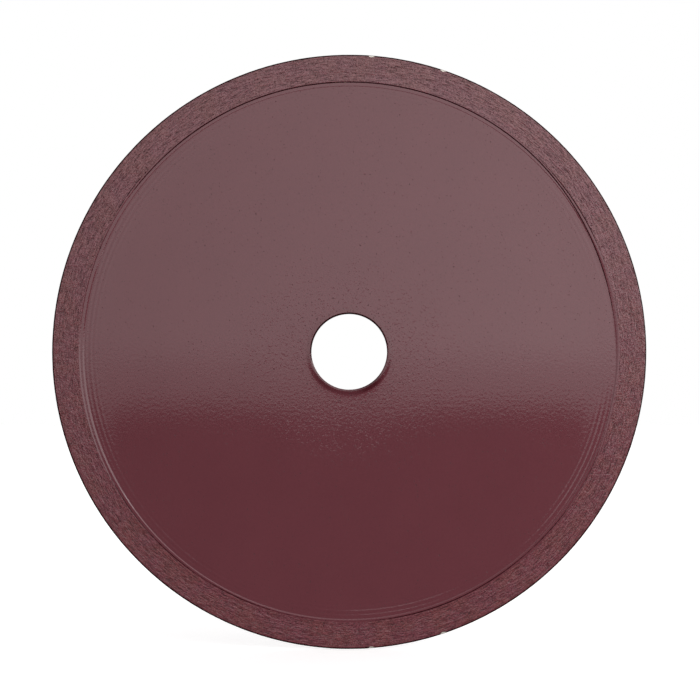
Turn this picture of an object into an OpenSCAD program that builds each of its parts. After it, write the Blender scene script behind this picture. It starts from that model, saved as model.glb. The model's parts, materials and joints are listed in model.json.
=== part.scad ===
// Continuous-rim diamond blade for a wet tile or masonry saw.
// A sintered diamond rim is pressed round a flat steel core through a diamond-free bond ring,
// and each side is sprayed with enamel. The two coats meet half way across the cutting edge,
// and stop at the mouths of the bore, whose wall stays bare.
// Millimetres. The blade spins about Y, its front face looks along -Y, and +Z is up.
// The origin is on the spin axis, half way through the blade.

/* [Blade] */
// Outside diameter over the enamel
blade_d = 200; // [150:1:300]
// Height of the diamond rim, measured along a radius
rim_h = 9; // [6:0.5:12]
// Thickness of the bare diamond rim
rim_t = 2.2; // [2:0.1:3]
// Rounding of the rim's outer corners
rim_corner_r = 0.45; // [0.2:0.05:0.7]

/* [Core] */
// Thickness of the steel core
core_t = 1.8; // [1.4:0.1:1.9]
// Diameter of the arbor bore
bore_d = 25.4; // [20:0.1:32]
// Size of the 45 degree chamfer at each end of the bore
bore_chamfer = 0.4; // [0.2:0.05:0.4]

/* [Bond ring] */
// Width of the ring, from the seam in to the core's edge
bond_w = 1.3; // [1.2:0.1:3]
// Width of the steeper step at the core's edge
step_w = 0.2; // [0.1:0.1:0.8]
// Number of half-round keys that lock the bond into the core's edge
key_count = 48; // [12:1:72]
// Radius of each key
key_r = 0.9; // [0.5:0.1:1]
// Width of the V groove left along the seam between the rim and the bond ring
groove_w = 0.4; // [0.3:0.1:0.6]
// Depth of that groove, from the rim's face
groove_depth = 0.2; // [0.15:0.05:0.3]

/* [Enamel] */
// Thickness of each enamel coat
enamel_t = 0.1; // [0.1:0.05:0.2]
// Distance along X from the centre to the first pair of hanger marks
near_mark_x = 7.5; // [5:0.5:15]
// Distance along X from the centre to the second pair of hanger marks
far_mark_x = 31.7; // [20:0.1:50]
// Length of each hanger mark along the edge
mark_l = 1.7; // [1:0.1:3]
// How far each hanger mark reaches in from the cutting edge
mark_depth = 0.4; // [0.2:0.1:0.6]

/* [Hidden] */
$fn = 180;

bore_r = bore_d / 2;
rim_r = blade_d / 2 - enamel_t;
seam_r = rim_r - rim_h;
core_r = seam_r - bond_w;

// Shares of the climb from the core's face to the rim's face, at the top of the step and at the seam
step_share = 0.5;
seam_share = 0.75;

steel_colour = [0.62, 0.63, 0.65];
bond_colour = [0.55, 0.42, 0.25];
rim_colour = [0.42, 0.34, 0.25];
enamel_colour = [0.42, 0.25, 0.27];

// Outline made of these upper points, which run outwards, and their mirror image below
function mirrored_outline(upper) =
    concat([for (p = upper) [p.x, -p.y]], [for (i = [len(upper) - 1:-1:0]) upper[i]]);

// Stands a blade that was drawn flat about Z upright, so that its top face becomes the front
module upright() {
    rotate([90, 0, 0]) children();
}

// Section of the rim from the seam outwards, with every face moved out by grow
module rim_section(grow = 0) {
    corner_r = rim_corner_r + grow;
    corner_x = rim_r - rim_corner_r;
    corner_y = rim_t / 2 - rim_corner_r;
    translate([seam_r, -rim_t / 2 - grow]) square([corner_x - seam_r, rim_t + 2 * grow]);
    translate([corner_x, -corner_y]) square([corner_r, 2 * corner_y]);
    for (side = [-1, 1]) translate([corner_x, side * corner_y]) circle(r = corner_r);
}

// Section of the bond ring: a step up from the core's face, then a gentle slope to the seam
module bond_section(grow = 0) {
    core_y = core_t / 2 + grow;
    climb = (rim_t - core_t) / 2;
    step_y = core_y + step_share * climb;
    seam_y = core_y + seam_share * climb;
    polygon(mirrored_outline([[core_r, core_y], [core_r + step_w, step_y], [seam_r, seam_y]]));
}

// Section of the flat core, with its chamfered bore. The bore's own wall stays where it is.
module core_section(grow = 0) {
    core_y = core_t / 2 + grow;
    wall_y = core_t / 2 - bore_chamfer + grow * sqrt(2);
    face_r = bore_r + core_y - wall_y;
    polygon(mirrored_outline([[bore_r, wall_y], [face_r, core_y], [core_r, core_y]]));
}

// The V grooves along the seam, one in each face, as a shape to cut away
module seam_grooves(grow = 0) {
    face_y = rim_t / 2 + grow;
    clear_y = face_y + 1;
    for (side = [-1, 1])
        polygon([
            [seam_r, side * (face_y - groove_depth)],
            [seam_r + groove_w / 2, side * face_y],
            [seam_r + groove_w / 2, side * clear_y],
            [seam_r - groove_w / 2, side * clear_y],
            [seam_r - groove_w / 2, side * face_y]
        ]);
}

// Section of the whole blade, with every face but the bore's wall moved out by grow
module blade_section(grow = 0) {
    difference() {
        union() {
            core_section(grow);
            bond_section(grow);
            rim_section(grow);
        }
        seam_grooves(grow);
    }
}

// Round keys on the core's edge: the core is cut by them and the bond ring fills them
module edge_keys(height) {
    for (i = [0:key_count - 1])
        rotate([0, 0, (i + 0.5) * 360 / key_count])
            translate([core_r, 0, 0])
                cylinder(r = key_r, h = height, center = true);
}

// One enamel coat: the skin on the side of the blade that faces +Z, from the mouth of the bore
// to the middle of the cutting edge
module enamel_coat() {
    rotate_extrude()
        intersection() {
            difference() {
                blade_section(enamel_t);
                blade_section();
            }
            square([blade_d, rim_t]);
        }
}

// Cutters for the four places where the coat is missing from the rim's outer corner
module hanger_marks() {
    for (x = [near_mark_x, far_mark_x], side = [-1, 1])
        rotate([0, 0, side * acos(x / rim_r)])
            translate([rim_r - mark_depth, -mark_l / 2, rim_t / 2 - mark_depth])
                cube([mark_depth + 1, mark_l, mark_depth + 1]);
}

module steel_core() {
    color(steel_colour)
        upright()
            difference() {
                rotate_extrude() core_section();
                edge_keys(core_t + 1);
            }
}

module bond_ring() {
    color(bond_colour)
        upright()
            union() {
                rotate_extrude() difference() {
                    bond_section();
                    seam_grooves();
                }
                edge_keys(core_t);
            }
}

module diamond_rim() {
    color(rim_colour)
        upright()
            rotate_extrude() difference() {
                rim_section();
                seam_grooves();
            }
}

module enamel_front() {
    color(enamel_colour)
        upright()
            difference() {
                enamel_coat();
                hanger_marks();
            }
}

module enamel_back() {
    color(enamel_colour)
        upright()
            mirror([0, 0, 1]) enamel_coat();
}

steel_core();
bond_ring();
diamond_rim();
enamel_front();
enamel_back();
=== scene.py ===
"""The looks of a continuous-rim diamond blade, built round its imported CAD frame.

Sizes are in millimetres until MM turns them into Blender's metres. The blade spins about Y and its
front face looks along -Y. Every piece is a loop of rows: a row is one ring of points round the spin
axis, given as angles, radii and depths. Depth is measured from the blade's middle plane towards the
face. An angle is a clock angle in radians, 0 at the top and growing clockwise seen from the front.
"""
import json
import math

import bmesh
import bpy
import numpy as np
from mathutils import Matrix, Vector

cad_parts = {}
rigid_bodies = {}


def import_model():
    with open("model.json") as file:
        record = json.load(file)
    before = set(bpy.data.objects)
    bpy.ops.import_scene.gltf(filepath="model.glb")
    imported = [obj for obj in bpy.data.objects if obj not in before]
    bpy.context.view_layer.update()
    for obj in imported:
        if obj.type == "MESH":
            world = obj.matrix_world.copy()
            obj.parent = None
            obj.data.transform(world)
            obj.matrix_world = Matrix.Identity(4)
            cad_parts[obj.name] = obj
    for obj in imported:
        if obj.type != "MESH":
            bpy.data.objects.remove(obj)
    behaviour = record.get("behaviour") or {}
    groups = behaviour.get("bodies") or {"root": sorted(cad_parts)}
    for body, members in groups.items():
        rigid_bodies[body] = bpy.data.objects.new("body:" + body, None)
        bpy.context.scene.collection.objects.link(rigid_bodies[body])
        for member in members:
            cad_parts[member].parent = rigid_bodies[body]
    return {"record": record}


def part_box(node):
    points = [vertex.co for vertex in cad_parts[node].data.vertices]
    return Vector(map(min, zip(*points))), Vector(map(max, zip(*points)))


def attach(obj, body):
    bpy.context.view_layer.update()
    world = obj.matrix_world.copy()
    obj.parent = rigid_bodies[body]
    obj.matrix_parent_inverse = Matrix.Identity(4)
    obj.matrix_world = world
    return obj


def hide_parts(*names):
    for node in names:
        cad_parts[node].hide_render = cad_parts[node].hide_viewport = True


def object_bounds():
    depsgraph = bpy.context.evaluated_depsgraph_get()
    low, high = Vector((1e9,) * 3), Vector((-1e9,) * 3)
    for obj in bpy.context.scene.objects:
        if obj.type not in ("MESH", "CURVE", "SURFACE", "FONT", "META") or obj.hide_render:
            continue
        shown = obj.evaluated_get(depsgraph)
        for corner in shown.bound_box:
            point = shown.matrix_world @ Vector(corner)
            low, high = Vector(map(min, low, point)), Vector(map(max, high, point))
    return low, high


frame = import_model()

CAD_BOX = [list(corner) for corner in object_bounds()]
MM = 0.001
FRONT, BACK = -1, 1


# ---------------------------------------------------------------- sizes

def reach(node, axis):
    """How far a CAD node reaches along an axis."""
    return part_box(node)[1][axis] / MM


BORE = next(m for m in frame["record"]["mounts"] if m["name"] == "arbor_bore")
BORE_R = BORE["dims"]["r_mm"]
WALL_H = BORE["dims"]["length_mm"] / 2
CORE_R = reach("steel_core", 0)
CORE_H = reach("steel_core", 1)
SEAM_R = reach("bond_ring", 0)
RIM_R = reach("diamond_rim", 0)
RIM_H = reach("diamond_rim", 1)
EDGE_R = reach("enamel_front", 0)
COAT = EDGE_R - RIM_R
FACE_R = BORE_R + CORE_H - WALL_H

# Details of the CAD section that its boxes don't give
STEP_R = CORE_R + 0.2
STEP_H = CORE_H + 0.5 * (RIM_H - CORE_H)
SEAM_H = CORE_H + 0.75 * (RIM_H - CORE_H)
GROOVE_W = 0.4
GROOVE_DEPTH = 0.2
RIM_CORNER = 0.45
KEY_COUNT = 48
KEY_R = 0.9
MARK_X = (7.5, 31.7)

# Points in a ring. Each count divides the next, so that rings of different counts can be joined.
PLATE_POINTS = 360
METAL_POINTS = 2 * PLATE_POINTS
RIM_POINTS = 4 * PLATE_POINTS

# Angles per quarter turn of a rounded corner, per half-round key, and between two keys
CORNER_STEPS = 7
KEY_STEPS = 13
GAP_STEPS = 8

# Radii of the rings that divide the flat of the core
PLATE_RADII = (30, 60, 80)

# Points closer than this are one point
WELD_GAP = 0.002


# ---------------------------------------------------------------- rows and meshes

def clock(count):
    """Evenly spaced clock angles."""
    return np.arange(count) * 2 * math.pi / count


def row(angles, radius, depth):
    """One ring of points, as an array of (angle, radius, depth)."""
    return np.stack(np.broadcast_arrays(angles, radius, depth), axis=1).astype(float)


def stitched(a, b, count_a, count_b):
    """Faces between two rings that start at vertices a and b."""
    if count_a > count_b:
        return [face[::-1] for face in stitched(b, a, count_b, count_a)]
    ratio = count_b // count_a
    middle = (ratio + 1) // 2
    faces = []
    for i in range(count_a):
        here, after = a + i, a + (i + 1) % count_a
        fine = [b + (i * ratio + k) % count_b for k in range(ratio + 1)]
        if ratio == 1:
            faces.append((here, after, fine[1], fine[0]))
            continue
        faces += [(here, fine[k + 1], fine[k]) for k in range(middle)]
        faces.append((here, after, fine[middle]))
        faces += [(after, fine[k + 1], fine[k]) for k in range(middle, ratio)]
    return faces


def closed_piece(name, rows, side=FRONT, sharp=35):
    """A closed solid from a loop of rows. side is the way that positive depth points."""
    points, faces = [], []
    starts = np.cumsum([0] + [len(ring) for ring in rows])
    for ring in rows:
        angle, radius, depth = ring.T
        points.append(np.stack([radius * np.sin(angle), side * depth, radius * np.cos(angle)], axis=1))
    for i, ring in enumerate(rows):
        j = (i + 1) % len(rows)
        faces += stitched(int(starts[i]), int(starts[j]), len(ring), len(rows[j]))
    if side == BACK:
        faces = [face[::-1] for face in faces]
    mesh = bpy.data.meshes.new(name)
    mesh.from_pydata((np.concatenate(points) * MM).tolist(), [], faces)
    mesh.update()
    piece = bpy.data.objects.new(name, mesh)
    bpy.context.scene.collection.objects.link(piece)
    smooth(piece, sharp)
    return piece


def smooth(piece, sharp):
    """Shades a piece smooth, except across edges that turn by more than sharp degrees."""
    piece.data.shade_smooth()
    piece.data.set_sharp_from_angle(angle=math.radians(sharp))


def weld(piece, sharp):
    """Merges the points that coincide, and drops the faces that this leaves empty."""
    work = bmesh.new()
    work.from_mesh(piece.data)
    bmesh.ops.remove_doubles(work, verts=work.verts, dist=WELD_GAP * MM)
    bmesh.ops.dissolve_degenerate(work, edges=work.edges, dist=WELD_GAP / 2 * MM)
    work.to_mesh(piece.data)
    work.free()
    smooth(piece, sharp)


def mirrored(rows):
    """The given rows, followed in reverse by the same rows on the other side."""
    return rows + [row(ring[:, 0], ring[:, 1], -ring[:, 2]) for ring in reversed(rows)]


# ---------------------------------------------------------------- uneven shapes

def near(angles, degrees, width):
    """1 at a clock angle, and falling to almost 0 over three times the width. Both are in degrees."""
    gap = (np.degrees(angles) - degrees + 180) % 360 - 180
    return np.exp(-0.5 * (gap / width) ** 2)


def wander(angles, seed, waves):
    """A smooth random value, mostly between -1 and 1, that repeats round the blade."""
    rng = np.random.default_rng(seed)
    total = np.zeros_like(angles)
    for k in range(1, waves + 1):
        total += rng.normal() * np.cos(k * angles) + rng.normal() * np.sin(k * angles)
    return total / math.sqrt(2 * waves)


def softened(field, passes):
    """A field blurred over its neighbours, wrapping round the blade, with its spread set back to 1."""
    for _ in range(passes):
        field = (np.roll(field, 1, 1) + 2 * field + np.roll(field, -1, 1)) / 4
        padded = np.pad(field, ((1, 1), (0, 0)), mode="edge")
        field = (padded[:-2] + 2 * padded[1:-1] + padded[2:]) / 4
    return field / field.std()


def streaked(field, length):
    """A field blurred round the blade only, over about length points, with its spread set back to 1."""
    spectrum = np.fft.rfft(field, axis=1)
    waves = np.arange(spectrum.shape[1])
    spectrum *= np.exp(-0.5 * (waves * length / field.shape[1]) ** 2)
    field = np.fft.irfft(spectrum, field.shape[1], axis=1)
    return field / field.std()


# ---------------------------------------------------------------- the bare metal

# The section of the metal under the enamel, from the core's edge to the rim's face, as radii and depths
BAND_R = SEAM_R - GROOVE_W / 2
BAND_H = STEP_H + (SEAM_H - STEP_H) * (BAND_R - STEP_R) / (SEAM_R - STEP_R)
SECTION_R = [CORE_R, STEP_R, BAND_R, SEAM_R, SEAM_R + GROOVE_W / 2]
SECTION_H = [CORE_H, STEP_H, BAND_H, RIM_H - GROOVE_DEPTH, RIM_H]

# The middle of the rim's rounded corner
CORNER_R = RIM_R - RIM_CORNER
CORNER_H = RIM_H - RIM_CORNER


def corner_arc():
    """Radii and depths round the bare rim's outer corner, from its face to its edge."""
    turns = np.linspace(0, math.pi / 2, CORNER_STEPS)
    return [(CORNER_R + RIM_CORNER * math.sin(t), CORNER_H + RIM_CORNER * math.cos(t)) for t in turns]


def keyed_outline():
    """Clock angles and radii along the core's edge, in and out of its half-round notches."""
    angles, radii = [], []
    pitch = 2 * math.pi / KEY_COUNT
    reach_of_key = math.asin(KEY_R / CORE_R)
    for i in range(KEY_COUNT):
        middle = (i + 0.5) * pitch
        for t in np.linspace(0, math.pi, KEY_STEPS):
            across = KEY_R * math.cos(math.pi - t)
            down = KEY_R * math.sin(t)
            angles.append(middle + math.atan2(across, CORE_R - down))
            radii.append(math.hypot(across, CORE_R - down))
        for t in np.linspace(0, 1, GAP_STEPS)[1:-1]:
            angles.append(middle + reach_of_key + t * (pitch - 2 * reach_of_key))
            radii.append(CORE_R)
    return np.array(angles), np.minimum(np.array(radii), CORE_R)


def build_steel_core():
    """The flat core, with its chamfered bore and its keyed edge."""
    angles, edge = keyed_outline()
    bore = [row(angles, BORE_R, depth) for depth in (0, WALL_H / 2, WALL_H)]
    plate = [row(angles, r, CORE_H) for r in (FACE_R, *PLATE_RADII, CORE_R - 2 * KEY_R)]
    half = bore + plate + [row(angles, edge, CORE_H)]
    return closed_piece("turned_core", half + mirrored(half)[len(half):-1])


def build_bond_ring():
    """The backing ring, whose inner edge fills the core's notches."""
    angles, edge = keyed_outline()
    half = [row(angles, edge, CORE_H)]
    half += [row(angles, r, height) for r, height in zip(SECTION_R[:4], SECTION_H)]
    ring = closed_piece("sintered_bond", mirrored(half))
    weld(ring, 35)
    return ring


# The bare rim's grit: the depth of a common dimple, and the spacing of the rings across the face
GRIT_DEPTH = 0.012
GRIT_PITCH = 0.5


def build_diamond_rim():
    """The sintered rim, its face and edge dimpled by the grit that was pressed flat by the mould."""
    angles = clock(METAL_POINTS)
    outline = [(SEAM_R, 0), (SEAM_R, RIM_H - GROOVE_DEPTH), (SEAM_R + GROOVE_W / 2, RIM_H)]
    outline += [(r, RIM_H) for r in np.arange(SEAM_R + 0.6, CORNER_R - 0.2, GRIT_PITCH)]
    outline += corner_arc() + [(RIM_R, CORNER_H / 2), (RIM_R, 0)]
    grit = np.abs(softened(np.random.default_rng(5).normal(size=(len(outline), len(angles))), 1))
    half = []
    for (radius, depth), bumps in zip(outline, grit):
        dimple = GRIT_DEPTH * np.minimum(bumps, 2)
        down = dimple if depth == RIM_H else 0
        inwards = 0 if depth == RIM_H or radius == SEAM_R else dimple
        half.append(row(angles, radius - inwards, depth - down))
    return closed_piece("grit_rim", half + mirrored(half)[len(half) + 1:-1])


# ---------------------------------------------------------------- the enamel coats

def fat_edge(angles):
    """How thick the enamel has built up along the bore, most of all its lower half, from 0.1 to about 1."""
    lower = near(angles, 180, 45) ** 0.5
    return 0.1 + 0.33 * lower + 0.7 * near(angles, 146, 13) + 0.28 * near(angles, 222, 14)


def ripple_strength(angles, seed):
    """How strong the turned ripples inside the seam are, from about 0 to 1."""
    return 0.35 + 0.5 * near(angles, 190, 50) + 0.25 * wander(angles, seed, 9)


def groove_strength(angles, seed):
    """How deep the seam shows through the enamel, from 0 to about 1."""
    filled = 0.95 * near(angles, 97, 12) + 0.6 * near(angles, 128, 18) + 0.7 * near(angles, 183, 10)
    filled += 0.35 * near(angles, 208, 20) + 1.0 * near(angles, 258, 22) + 0.5 * near(angles, 300, 13)
    filled += 0.35 * near(angles, 79, 8)
    return np.clip(1 - filled + 0.16 * wander(angles, seed, 24), 0, 1.1)


def fork_strength(angles):
    """How deep the second line shows where the seam splits in two, from 0 to 0.75."""
    return 0.75 * near(angles, 57, 8) + 0.4 * near(angles, 306, 7)


def seam_at(angles):
    """Radius of the line along which the enamel has settled into the seam."""
    inwards = 1.07 * near(angles, 76, 20) + 0.4 * near(angles, 138, 12) + 0.25 * near(angles, 318, 12)
    return SEAM_R - 0.18 - inwards


def fork_at(angles):
    """Radius of the second line where the seam splits."""
    return SEAM_R + 0.08 + 0.35 * near(angles, 306, 15)


def step_at(angles):
    """Radius of the small step that shows through from the core's edge."""
    return CORE_R - 0.17 + 0.72 * near(angles, 190, 28) + 0.7 * near(angles, 88, 18)


# Where the front and back coats differ: the seed of each one's random shapes
FRONT_SEED, BACK_SEED = 11, 23

# The lip and the fat bead of enamel round the bore
LIP_R = FACE_R + 0.05
BEAD_W = 1.75
BEAD_H = 0.11
BEAD_STEPS = 12

# The climb from the core's face to the rim's: a long apron, then two steps with a gently rising band between
APRON_H = 0.05
APRON_R = (80.0, 89.2)
BAND_RISE = 0.01
BAND_PITCH = 0.05

# The lines along which the enamel has sunk into the seam
LINE_W = 0.15
LINE_DEPTH = 0.05

# The turned ripples inside the seam: height, wavelength, first radius, and the spacing of their rings
RIPPLE_H = 0.012
RIPPLE_WAVE = 1.5
RIPPLE_FROM = 84.0
RIPPLE_PITCH = 0.25

# The shallow dish round the bore: its depth, and the radius and width of its slope
DISH_H = 0.012
DISH_R = (15.0, 13.0)

# Rings that divide the smooth plate, and the spacing of those across the rim's face
SMOOTH_RADII = (16.5, 18.5, 21, 24, 28, 33, 39, 50, 62, 74, 81)
FACE_PITCH = 0.3

# Relief of the rim's face: its grit, its streaks, and the most that the two reach together
COAT_GRIT = 0.006
COAT_STREAK = 0.005
GRIT_REACH = 2 * (COAT_GRIT + COAT_STREAK)
STREAK_POINTS = 40


def ramp(radius, low, high):
    """A smooth rise from 0 at the low radius to 1 at the high one."""
    t = np.clip((radius - low) / (high - low), 0, 1)
    return t * t * (3 - 2 * t)


def line(radius, middle):
    """1 at the middle radius of a sunk line, falling to 0 on both sides."""
    return np.exp(-((radius - middle) / LINE_W) ** 2)


def sunk_lines(angles, radius, seed):
    """How deep the seam's two lines show at one radius, from 0 to about 1."""
    seam = groove_strength(angles, seed + 1) * line(radius, seam_at(angles))
    return seam + fork_strength(angles) * line(radius, fork_at(angles))


def climb(angles, radius):
    """How far the coat has risen from its level on the core. Its steps are softer on the left and right."""
    upper = 0.5 + 0.5 * np.cos(angles)
    left, right = near(angles, 262, 16), near(angles, 77, 10)
    step, seam = step_at(angles), seam_at(angles)
    steps = RIM_H - CORE_H - APRON_H - BAND_RISE
    at_seam = steps * (0.8 * upper ** 2 + 0.26 * left)
    soft = 0.05 + 0.1 * (1 - upper) + 0.35 * left + 1.1 * right
    rise = APRON_H * ramp(radius, *APRON_R) + BAND_RISE * ramp(radius, CORE_R, SEAM_R)
    rise += (steps - at_seam) * ramp(radius, step - soft, step + soft)
    return rise + at_seam * ramp(radius, seam - 0.05 - 0.3 * left, seam + 0.2 + 0.1 * left)


def ripple(angles, radius, seed):
    """Height of the turned ripples, which fade out towards the bore and the core's edge."""
    window = np.clip((radius - RIPPLE_FROM) / 3, 0, 1) * np.clip((CORE_R - radius) / 0.6, 0, 1)
    phase = 2 * math.pi * radius / RIPPLE_WAVE + wander(angles, seed + 2, 5)
    return RIPPLE_H * window * ripple_strength(angles, seed + 3) * np.sin(phase)


def coat_height(angles, radius, seed):
    """Height of the enamel's surface at one radius, between the bore's lip and the rim's face."""
    upper = 0.5 + 0.5 * np.cos(angles)
    groove = LINE_DEPTH * upper * sunk_lines(angles, radius, seed)
    dish = DISH_H * math.exp(-(max(0, radius - DISH_R[0]) / DISH_R[1]) ** 2)
    across = np.clip((radius - LIP_R) / BEAD_W, 0, 1)
    bead = BEAD_H * fat_edge(angles) * (0.5 + 0.5 * math.cos(math.pi * across))
    return CORE_H + COAT + climb(angles, radius) - groove - dish + bead + ripple(angles, radius, seed)


def lip_rows(angles, seed):
    """The rounded lip of the coat, from the mouth of the bore to its flat top."""
    top, bottom = coat_height(angles, LIP_R, seed), WALL_H + COAT
    turns = np.linspace(0, math.pi / 2, CORNER_STEPS)[:-1]
    return [row(angles, BORE_R + (LIP_R - BORE_R) * (1 - math.cos(t)), bottom + (top - bottom) * math.sin(t))
            for t in turns]


def outer_rows(seed):
    """The enamel's outer surface, from the bore's lip to the middle of the cutting edge."""
    plate, rim = clock(PLATE_POINTS), clock(RIM_POINTS)
    bead = LIP_R + BEAD_W * np.linspace(0, 1, BEAD_STEPS)
    ripples = np.arange(RIPPLE_FROM, CORE_R - 0.7, RIPPLE_PITCH)
    band = np.arange(CORE_R - 0.6, SEAM_R + 0.6, BAND_PITCH)
    radii = np.concatenate([bead, SMOOTH_RADII, ripples, band])
    plate_rows = [row(plate, radius, coat_height(plate, radius, seed)) for radius in radii]
    return lip_rows(plate, seed) + plate_rows + rim_rows(rim, seed)


def rim_outline():
    """The coated rim's face, corner and half edge, as radius, depth, and how far it faces out and up."""
    outline = [(r, RIM_H + COAT, 0, 1) for r in np.arange(SEAM_R + 0.75, CORNER_R - 0.1, FACE_PITCH)]
    for t in np.linspace(0, math.pi / 2, CORNER_STEPS):
        out, up = math.sin(t), math.cos(t)
        outline.append((CORNER_R + (RIM_CORNER + COAT) * out, CORNER_H + (RIM_CORNER + COAT) * up, out, up))
    return outline + [(EDGE_R, CORNER_H * share, 1, 0) for share in (0.7, 0.35, 0)]


def rim_rows(angles, seed):
    """The rim's part of the outer surface, with ground streaks and grit under the enamel."""
    outline = rim_outline()
    rng = np.random.default_rng(seed)
    size = (len(outline), len(angles))
    grit = softened(rng.normal(size=size), 1)
    streaks = streaked(rng.normal(size=size), STREAK_POINTS)
    rows = []
    for (radius, depth, out, up), bumps, scores in zip(outline, grit, streaks):
        fade = min(1, depth / 0.2, (radius - SEAM_R - 0.4) / 1.2)
        relief = COAT_GRIT * np.clip(bumps, -2, 2) + COAT_STREAK * np.clip(scores, -2, 2)
        height = fade * (relief - GRIT_REACH)
        rows.append(row(angles, radius + out * height, depth + up * height))
    return rows


def under_rows():
    """The enamel's underside, from the middle of the cutting edge back to the bore."""
    outline = [(RIM_R, 0)] + corner_arc()[::-1] + list(zip(SECTION_R, SECTION_H))[::-1]
    outline += [(r, CORE_H) for r in (*PLATE_RADII[1::-1], FACE_R)] + [(BORE_R, WALL_H)]
    return [row(clock(PLATE_POINTS), radius, depth) for radius, depth in outline]


def build_enamel(name, side, seed):
    """One coat, with the two values that its material reads stored on its points."""
    rows = outer_rows(seed) + under_rows()
    piece = closed_piece(name, rows, side, sharp=60)
    angles, radius, depth = np.concatenate(rows).T
    store(piece, "bore_painted_shade", bore_painted_shade(angles, radius))
    store(piece, "painted_shade_mask", painted_shade_mask(angles, radius, depth, seed))
    return piece


def bore_painted_shade(angles, radius):
    """Painted shade round the bore, from 0 to 1: on the fat bead, most below, and on the upper lip."""
    # Painted shade on the bead, strongest where its flank faces away from the light; the bead's shape is
    # real.
    bead = fat_edge(angles) * np.clip((LIP_R + BEAD_W - radius) / 0.7, 0, 1)
    # Painted shade on the bore's upper lip, which faces down into the bore.
    lip = 0.8 * near(angles, 10, 50) * np.clip((LIP_R + 0.1 - radius) / 0.2, 0, 1)
    return np.clip(bead + lip, 0, 1)


def painted_shade_mask(angles, radius, depth, seed):
    """Painted shade in the seam's lines, at the outer corner and on the bore's upper lip, from 0 to 1."""
    # Painted shade along the seam's lines, into which the coat also dips at the top.
    lines = sunk_lines(angles, radius, seed)
    # Painted shade along the outer corner, where the edge turns away from the light.
    corner = np.clip((radius - EDGE_R + 0.55) / 0.2, 0, 1) * np.clip(depth / RIM_H - 0.3, 0, 1)
    # Painted shade on the bore's upper lip.
    lip = 0.8 * near(angles, 350, 60) * np.clip((LIP_R + 0.15 - radius) / 0.15, 0, 1)
    return np.clip(lines + corner + lip, 0, 1)


def store(piece, name, values):
    """Keeps one number for each point of a piece, for its material to read."""
    attribute = piece.data.attributes.new(name, "FLOAT", "POINT")
    attribute.data.foreach_set("value", np.asarray(values, np.float32))


# The lump that cuts a chip: its half sizes along the rim, through it and outwards, and where its middle is
CHIP_SIZE = (1.05, 0.52, 0.52)
CHIP_R = EDGE_R - 0.1
CHIP_H = RIM_H - 0.05


def chip_cutter(x, side):
    """A small rough lump at the rim's front corner, the shape of a chip in the enamel."""
    work = bmesh.new()
    bmesh.ops.create_icosphere(work, subdivisions=3, radius=1)
    rng = np.random.default_rng(int(10 * x) + side)
    phases = rng.uniform(0, 6.28, 3)
    for v in work.verts:
        v.co *= 1 + 0.12 * math.sin(5 * v.co.x + phases[0]) * math.sin(7 * v.co.z + phases[1])
        v.co.x *= CHIP_SIZE[0]
        v.co.y *= CHIP_SIZE[1]
        v.co.z *= CHIP_SIZE[2]
    mesh = bpy.data.meshes.new("chip")
    work.to_mesh(mesh)
    work.free()
    cutter = bpy.data.objects.new("chip", mesh)
    cutter.scale = (MM, MM, MM)
    turn = math.asin(x / RIM_R)
    angle = turn if side > 0 else math.pi - turn
    cutter.location = (CHIP_R * math.sin(angle) * MM, -CHIP_H * MM, CHIP_R * math.cos(angle) * MM)
    cutter.rotation_euler = (0, angle, 0)
    bpy.context.scene.collection.objects.link(cutter)
    return cutter


def cut_chips(piece):
    """Cuts the four hanger marks through the front coat, two at the top and two at the bottom."""
    for x in MARK_X:
        for side in (1, -1):
            cutter = chip_cutter(x, side)
            cut = piece.modifiers.new("chip", "BOOLEAN")
            cut.operation = "DIFFERENCE"
            cut.solver = "EXACT"
            cut.object = cutter
    bpy.context.view_layer.update()
    whole = piece.evaluated_get(bpy.context.evaluated_depsgraph_get())
    mesh = bpy.data.meshes.new_from_object(whole)
    piece.modifiers.clear()
    piece.data = mesh
    for o in [o for o in bpy.data.objects if o.name.startswith("chip")]:
        bpy.data.objects.remove(o)


# ---------------------------------------------------------------- materials

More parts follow.
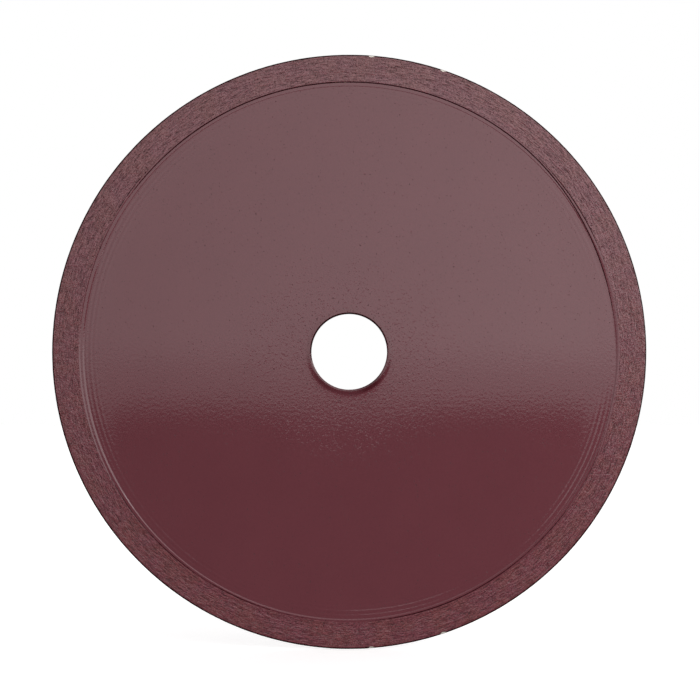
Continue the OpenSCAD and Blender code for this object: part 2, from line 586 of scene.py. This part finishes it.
class Graph:
    """A node tree built by calls, so that a pattern reads as a formula."""

    def __init__(self, owner):
        owner.use_nodes = True
        self.tree = owner.node_tree
        self.tree.nodes.clear()

    def node(self, kind, inputs=None, **settings):
        made = self.tree.nodes.new("ShaderNode" + kind)
        for key, value in settings.items():
            setattr(made, key, value)
        for key, value in (inputs or {}).items():
            if isinstance(value, bpy.types.NodeSocket):
                self.tree.links.new(value, made.inputs[key])
            else:
                made.inputs[key].default_value = value
        return made

    def math(self, operation, *values):
        return self.node("Math", dict(enumerate(values)), operation=operation).outputs[0]

    def times(self, a, b):
        return self.math("MULTIPLY", a, b)

    def plus(self, a, b):
        return self.math("ADD", a, b)

    def step(self, value, low, high, start=0.0, end=1.0):
        """A smooth step of value, from start at low to end at high."""
        inputs = {"Value": value, "From Min": low, "From Max": high, "To Min": start, "To Max": end}
        return self.node("MapRange", inputs, interpolation_type="SMOOTHSTEP").outputs[0]

    def vector(self, x, y, z):
        return self.node("CombineXYZ", {0: x, 1: y, 2: z}).outputs[0]

    def noise(self, vector, scale, detail=1.0, roughness=0.5):
        inputs = {"Vector": vector, "Scale": scale, "Detail": detail, "Roughness": roughness}
        return self.node("TexNoise", inputs).outputs[0]

    def blend(self, factor, a, b):
        """A colour between a and b."""
        made = self.node("Mix", data_type="RGBA")
        for index, value in ((0, factor), (6, a), (7, b)):
            if isinstance(value, bpy.types.NodeSocket):
                self.tree.links.new(value, made.inputs[index])
            else:
                made.inputs[index].default_value = value
        return made.outputs[2]

    def places(self):
        """The place in millimetres, its radius, the sine and cosine of its clock angle, and its y."""
        raw = self.node("TexCoord").outputs["Object"]
        where = self.node("VectorMath", {0: raw, "Scale": 1 / MM}, operation="SCALE").outputs[0]
        x, y, z = self.node("SeparateXYZ", {0: where}).outputs
        radius = self.math("SQRT", self.plus(self.times(x, x), self.times(z, z)))
        return where, radius, self.math("DIVIDE", x, radius), self.math("DIVIDE", z, radius), y


def finished(graph, colour, roughness, height_um, metallic=0.0, shine=0.5):
    """Ends a material with its colour, roughness and shine, and a height in micrometres as fine relief."""
    bump = graph.node("Bump", {"Height": height_um, "Distance": 0.001 * MM, "Strength": 1.0})
    inputs = {"Base Color": colour, "Roughness": roughness, "Metallic": metallic}
    inputs.update({"Normal": bump.outputs[0], "Specular IOR Level": shine})
    surface = graph.node("BsdfPrincipled", inputs)
    graph.node("OutputMaterial", {"Surface": surface.outputs[0]})


def enamel_zones(g, radius):
    """How far a place is on the rim, in three ever smaller areas round the bore, and by the seam: 0 to 1."""
    return {
        "rim": g.step(radius, SEAM_R - 0.1, SEAM_R + 0.3),
        "widest": g.step(radius, 3.4 * BORE_R, 2.2 * BORE_R),
        "wide": g.step(radius, 2.8 * BORE_R, 1.2 * BORE_R),
        "bore": g.step(radius, 1.9 * BORE_R, 1.1 * BORE_R),
        "seam": g.step(radius, 0.88 * SEAM_R, SEAM_R),
    }


def enamel_wear_and_pit_shade(g, where, zone, streaks):
    """Small pits, and all wear with painted shade: the pits with the deepest of the grinding streaks."""
    crowding = g.plus(g.times(zone["bore"], 0.050), g.times(zone["seam"], 0.015))
    crowding = g.plus(g.times(zone["rim"], 0.062), crowding)
    pits = g.step(g.plus(g.noise(where, 1.8, 1.0), crowding), 0.71, 0.76)
    scores = g.times(zone["rim"], g.step(streaks, 0.37, 0.30))
    return pits, g.math("MAXIMUM", pits, g.times(scores, 0.5))


def enamel_colour(g, where, zone, worn_and_pit_shaded, bore_painted_shade_here, painted_shade_dark, light):
    """Maroon, a little redder and patchy on the rim, and darker at wear. Painted light and shade in the rim's
    streaks; painted shade in the pits, round the bore, in the seam's lines and at the outer corner.
    """
    cloud = g.noise(where, 0.05, 2.0)
    tint = g.step(g.noise(where, 0.14, 2.0), 0.35, 0.65)
    fleck = g.step(g.noise(where, 1.5, 1.0), 0.62, 0.35, 0.0, 0.06)
    base = g.blend(cloud, (0.120, 0.0308, 0.0397, 1), (0.135, 0.0356, 0.0453, 1))
    base = g.blend(fleck, base, (0.050, 0.013, 0.017, 1))
    on_rim = g.blend(tint, (0.134, 0.0365, 0.0410, 1), (0.132, 0.0345, 0.0450, 1))
    base = g.blend(zone["rim"], base, on_rim)
    # Darker at wear, and painted shade in the pits and the deepest streaks.
    base = g.blend(g.times(worn_and_pit_shaded, 0.75), base, (0.030, 0.008, 0.010, 1))
    # Painted shade round the bore's bead and upper lip.
    base = g.blend(bore_painted_shade_here, base, (0.055, 0.006, 0.010, 1))
    # Painted shade in the seam's lines, at the outer corner and on the upper lip.
    base = g.blend(painted_shade_dark, base, (0.022, 0.004, 0.005, 1))
    # Painted light and shade of the rim's streaks scales the colour.
    return g.node("VectorMath", {0: base, "Scale": light}, operation="SCALE").outputs[0]


def enamel_relief(g, where, zone, grain, streaks, pits):
    """Height in micrometres: orange peel on the plate, grain and streaks on the rim, and pits and pimples."""
    peel_height = g.plus(g.times(g.plus(zone["wide"], zone["seam"]), 3.5), 5.0)
    peel = g.times(g.plus(g.noise(where, 1.0, 2.0, 0.6), -0.5), peel_height)
    ground = g.plus(g.times(g.plus(grain, -0.5), 41.0), g.times(g.plus(streaks, -0.5), 35.0))
    relief = g.node("Mix", {0: zone["rim"], 2: peel, 3: ground}).outputs[0]
    pimples = g.times(zone["widest"], g.step(g.noise(where, 1.3, 1.0), 0.60, 0.74))
    return g.plus(relief, g.plus(g.times(pits, -9.0), g.times(pimples, 5.0)))


def enamel_material():
    """Glossy maroon enamel: orange peel on the core, and grit and grinding streaks on the rim."""
    material = bpy.data.materials.new("maroon_enamel")
    g = Graph(material)
    where, radius, sine, cosine, _ = g.places()
    zone = enamel_zones(g, radius)
    grain = g.noise(where, 1.7, 2.0, 0.65)
    along = g.vector(g.times(sine, 40.0), g.times(cosine, 40.0), g.times(radius, 3.2))
    streaks = g.noise(along, 1.0, 2.0)
    mottle = g.plus(g.times(streaks, 0.55), g.times(grain, 0.45))
    # Painted light and shade on the rim: its streaks and grain, also in the relief, lighten or darken colour
    # and shine.
    shade = g.times(zone["rim"], g.step(mottle, 0.62, 0.38, -1.0, 1.0))
    light = g.plus(1.0, g.times(shade, -0.34))
    # Painted shade round the bore's bead and upper lip, stored on the coats' points.
    bore_painted_shade_here = g.node("Attribute", attribute_name="bore_painted_shade").outputs["Fac"]
    # Painted shade in the seam's lines, at the outer corner and on the upper lip, stored on the coats' points
    # and broken up by noise.
    painted_shade_mask_here = g.node("Attribute", attribute_name="painted_shade_mask").outputs["Fac"]
    broken = g.step(g.plus(painted_shade_mask_here, g.times(g.noise(where, 0.9, 2.0), 0.8)), 0.45, 0.85)
    painted_shade_dark = g.times(broken, g.step(painted_shade_mask_here, 0.03, 0.3))
    pits, worn_and_pit_shaded = enamel_wear_and_pit_shade(g, where, zone, streaks)
    colour = enamel_colour(g, where, zone, worn_and_pit_shaded, bore_painted_shade_here, painted_shade_dark, light)
    height = enamel_relief(g, where, zone, grain, streaks, pits)
    roughness = g.plus(g.step(zone["rim"], 0.0, 1.0, 0.03, 0.08), g.times(worn_and_pit_shaded, 0.3))
    # The painted shade also takes away most of the shine.
    shine = g.times(g.step(painted_shade_dark, 0.0, 1.0, 0.5, 0.04), g.step(worn_and_pit_shaded, 0.0, 1.0, 1.0, 0.5))
    finished(g, colour, roughness, height, shine=g.times(shine, light))
    return material


def steel_material():
    """Turned steel, with fine tool marks round the bore."""
    material = bpy.data.materials.new("turned_steel")
    g = Graph(material)
    where, radius, sine, cosine, y = g.places()
    along = g.vector(g.times(sine, 3.0), g.times(cosine, 3.0), g.times(g.plus(y, radius), 14.0))
    marks = g.noise(along, 1.0, 2.0)
    stain = g.noise(where, 0.6, 3.0)
    colour = g.blend(stain, (0.40, 0.39, 0.39, 1), (0.58, 0.58, 0.59, 1))
    roughness = g.step(stain, 0.3, 0.7, 0.30, 0.42)
    finished(g, colour, roughness, g.times(marks, 6.0), metallic=1.0)
    return material


def bond_material():
    """Dull sintered bronze with no diamond in it."""
    material = bpy.data.materials.new("sintered_bond")
    g = Graph(material)
    where = g.places()[0]
    powder = g.noise(where, 6.0, 3.0, 0.7)
    stain = g.noise(where, 0.3, 2.0)
    colour = g.blend(stain, (0.36, 0.24, 0.13, 1), (0.50, 0.36, 0.21, 1))
    roughness = g.step(powder, 0.3, 0.7, 0.5, 0.68)
    finished(g, colour, roughness, g.times(powder, 14.0), metallic=1.0)
    return material


def rim_material():
    """Sintered bronze crowded with pale diamond grit."""
    material = bpy.data.materials.new("diamond_grit")
    g = Graph(material)
    where = g.places()[0]
    cells = g.node("TexVoronoi", {"Vector": where, "Scale": 2.4, "Randomness": 1.0}).outputs["Distance"]
    powder = g.noise(where, 7.0, 3.0, 0.7)
    grit = g.step(cells, 0.34, 0.22)
    metal = g.blend(powder, (0.62, 0.58, 0.50, 1), (0.84, 0.81, 0.74, 1))
    colour = g.blend(grit, metal, (0.90, 0.88, 0.76, 1))
    height = g.plus(g.times(powder, 10.0), g.times(grit, 18.0))
    roughness = g.step(grit, 0.0, 1.0, 0.45, 0.25)
    finished(g, colour, roughness, height, metallic=0.35)
    return material


# ---------------------------------------------------------------- the studio

# The bright panel ends downwards in two soft edges, given as elevations in degrees. It falls from BRIGHT to
# DARK, and the upper edge holds UPPER_SHARE of the fall.
UPPER_EDGE, LOWER_EDGE = (-0.45, 0.1), (-1.13, -0.93)
UPPER_SHARE = 0.35
BRIGHT, DARK = 1.74, 0.10

# The panel fades to SIDE_SHARE of its brightness between these angles from the blade's plane, in degrees
SIDE_FADE = (30, 60)
SIDE_SHARE = 0.12

# It is dimmer on the left than on the right: the two shares of its mean brightness, and the sine of the angle
# off the middle at which they are reached
LEAN = (0.55, 1.45)
LEAN_REACH = 0.25


def sine_of(degrees):
    return math.sin(math.radians(degrees))


def build_world():
    """Broad soft panels in front and behind, bright above the horizon, with plain white behind the blade."""
    world = bpy.data.worlds.new("studio")
    bpy.context.scene.world = world
    g = Graph(world)
    direction = g.node("TexCoord").outputs["Generated"]
    x, y, z = g.node("SeparateXYZ", {0: direction}).outputs
    upper = g.step(z, sine_of(UPPER_EDGE[0]), sine_of(UPPER_EDGE[1]), 0.0, UPPER_SHARE)
    lower = g.step(z, sine_of(LOWER_EDGE[0]), sine_of(LOWER_EDGE[1]), 0.0, 1 - UPPER_SHARE)
    panel = g.plus(upper, lower)
    facing = g.step(g.math("ABSOLUTE", y), sine_of(SIDE_FADE[0]), sine_of(SIDE_FADE[1]), SIDE_SHARE, 1.0)
    lean = g.step(x, -LEAN_REACH, LEAN_REACH, *LEAN)
    level = g.plus(g.times(g.times(panel, facing), g.times(lean, BRIGHT - DARK)), DARK)
    lit = g.node("Background", {"Color": g.vector(level, level, level)})
    plain = g.node("Background", {"Color": (1, 1, 1, 1), "Strength": 1.0})
    seen = g.node("LightPath").outputs["Is Camera Ray"]
    mixed = g.node("MixShader", {0: seen, 1: lit.outputs[0], 2: plain.outputs[0]})
    g.node("OutputWorld", {"Surface": mixed.outputs[0]})


def build_softbox():
    """One large soft light, in front and to the right."""
    data = bpy.data.lights.new("softbox", "AREA")
    data.shape = "RECTANGLE"
    data.size, data.size_y = 0.7, 0.5
    data.energy = 4.2
    light = bpy.data.objects.new("softbox", data)
    light.location = (0.62, -0.5, 0.05)
    aim(light, (0, 0, 0))
    bpy.context.scene.collection.objects.link(light)


def aim(thing, target):
    """Points a lamp or camera, which look along their own -Z, at a place."""
    thing.rotation_euler = (Vector(target) - thing.location).to_track_quat("-Z", "Y").to_euler()


FLOOR_HALF = 3.0
FLOOR_GAP = 0.02


def build_floor():
    """A plain pale floor that the blade stands on, kept out of the blade's light and reflections."""
    half = FLOOR_HALF
    corners = [(-half, -half, 0), (half, -half, 0), (half, half, 0), (-half, half, 0)]
    mesh = bpy.data.meshes.new("floor")
    mesh.from_pydata(corners, [], [(0, 1, 2, 3)])
    floor = bpy.data.objects.new("floor", mesh)
    floor.location.z = CAD_BOX[0][2] - FLOOR_GAP * MM
    bpy.context.scene.collection.objects.link(floor)
    mesh.materials.append(floor_material())
    floor.visible_glossy = False
    floor.visible_diffuse = False
    floor.visible_shadow = False


def floor_material():
    """Matt off-white, lit a little from within so that it meets the white behind it."""
    material = bpy.data.materials.new("pale_floor")
    g = Graph(material)
    speckle = g.noise(g.node("TexCoord").outputs["Object"], 9.0, 3.0)
    colour = g.blend(speckle, (0.80, 0.80, 0.80, 1), (0.84, 0.84, 0.84, 1))
    surface = g.node("BsdfPrincipled", {"Base Color": colour, "Roughness": 0.9, "Emission Strength": 0.6})
    surface.inputs["Emission Color"].default_value = (1, 1, 1, 1)
    g.node("OutputMaterial", {"Surface": surface.outputs[0]})
    return material


CAMERA_DISTANCE = 1.0
BLADE_SHARE = 0.8485
LENS_SHIFT = (0.0011, 0.0026)


def build_camera():
    """The photograph's view: square on, with the blade filling BLADE_SHARE of the picture's width."""
    data = bpy.data.cameras.new("camera")
    data.angle = 2 * math.atan(EDGE_R * MM / CAMERA_DISTANCE / BLADE_SHARE)
    data.shift_x, data.shift_y = LENS_SHIFT
    data.clip_start = 0.01
    camera = bpy.data.objects.new("camera", data)
    camera.location = (0, -CAMERA_DISTANCE, 0)
    camera.rotation_euler = (math.pi / 2, 0, 0)
    bpy.context.scene.collection.objects.link(camera)
    bpy.context.scene.camera = camera


# ---------------------------------------------------------------- putting it together

def place(piece, node, material):
    """Gives a piece its material, and lets it stand for one CAD node."""
    piece.data.materials.clear()
    piece.data.materials.append(material)
    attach(piece, "root")
    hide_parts(node)


enamel = enamel_material()
front = build_enamel("enamel_front_coat", FRONT, FRONT_SEED)
cut_chips(front)
place(front, "enamel_front", enamel)
place(build_enamel("enamel_back_coat", BACK, BACK_SEED), "enamel_back", enamel)
place(build_steel_core(), "steel_core", steel_material())
place(build_bond_ring(), "bond_ring", bond_material())
place(build_diamond_rim(), "diamond_rim", rim_material())
build_world()
build_softbox()
build_floor()
build_camera()
bpy.context.scene.view_settings.view_transform = "Standard"
